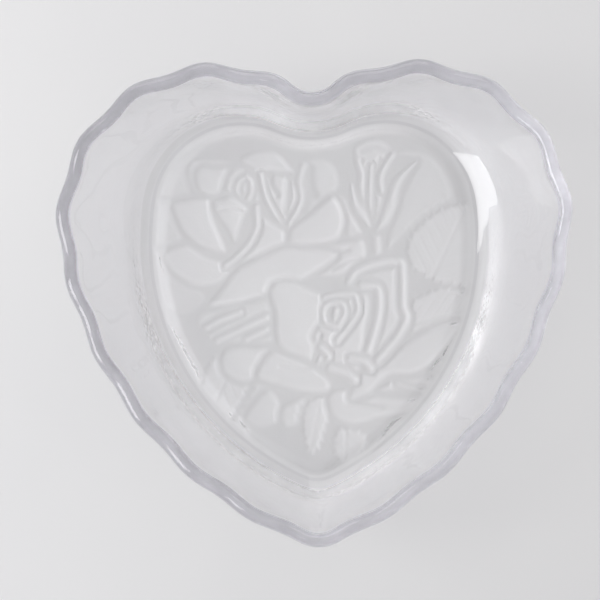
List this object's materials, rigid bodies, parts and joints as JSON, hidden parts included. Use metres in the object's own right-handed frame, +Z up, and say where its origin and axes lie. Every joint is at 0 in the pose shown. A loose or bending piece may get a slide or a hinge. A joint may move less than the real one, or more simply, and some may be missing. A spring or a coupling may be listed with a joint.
{
  "type": "heart-shaped glass trinket dish",
  "caption": "Open heart-shaped trinket dish in pressed clear glass, with a scalloped rounded rim and a frosted rose relief under the floor.",
  "frame": {"origin": "under the middle of the dish's bounding box, on the plane it rests on", "axes": "+Z up out of the bowl, +Y towards the notch between the lobes, -Y towards the tip, X across the lobes"},
  "size_m": [0.1396, 0.1315, 0.0345],
  "materials": {
    "pressed_glass": "fire-polished clear pressed glass, satin frosted on the relief under the floor"
  },
  "bodies": {
    "root": {"dish": "pressed_glass"}
  },
  "joints": []
}
